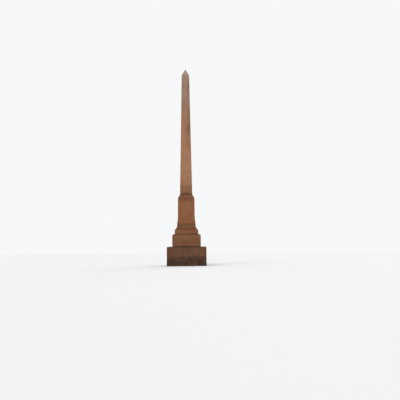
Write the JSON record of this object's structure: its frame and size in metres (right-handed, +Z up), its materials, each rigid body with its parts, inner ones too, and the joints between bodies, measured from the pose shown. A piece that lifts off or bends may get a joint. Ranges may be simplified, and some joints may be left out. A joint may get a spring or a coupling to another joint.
{
  "type": "obelisk",
  "caption": "Tall square stone obelisk with a pyramid tip, on a moulded pedestal and a stepped base of blocks.",
  "frame": {"origin": "centre of the underside, at ground level", "axes": "+Z up the obelisk's axis; -Y is the front face, the one the picture shows; all four faces are alike"},
  "size_m": [1.576, 1.576, 8.426],
  "materials": {
    "shaft_stone": "dressed sandstone, pale tan, rain washed, with dark streaks",
    "pedestal_stone": "dressed sandstone, orange brown, matt",
    "base_stone": "dressed sandstone, dark brown with grime and damp, matt",
    "mortar": "raked lime mortar, dark with dirt"
  },
  "bodies": {
    "root": {"lower_block_front": "base_stone", "lower_block_right": "base_stone", "lower_block_back": "base_stone", "lower_block_left": "base_stone", "lower_joint_front": "mortar", "lower_joint_right": "mortar", "lower_joint_back": "mortar", "lower_joint_left": "mortar", "lower_hearting": "mortar", "upper_course_bed": "mortar", "upper_block_front": "base_stone", "upper_block_right": "base_stone", "upper_block_back": "base_stone", "upper_block_left": "base_stone", "upper_joint_front": "mortar", "upper_joint_right": "mortar", "upper_joint_back": "mortar", "upper_joint_left": "mortar", "upper_hearting": "mortar", "second_base_bed": "mortar", "second_base": "base_stone", "fascia_bed": "mortar", "fascia_course": "pedestal_stone", "cove_bed": "mortar", "cove_course": "pedestal_stone", "die_bed": "mortar", "die": "pedestal_stone", "cap_bed": "mortar", "cap": "pedestal_stone", "shaft_bed": "mortar", "shaft": "shaft_stone", "pyramidion_bed": "mortar", "pyramidion": "shaft_stone"}
  },
  "joints": []
}
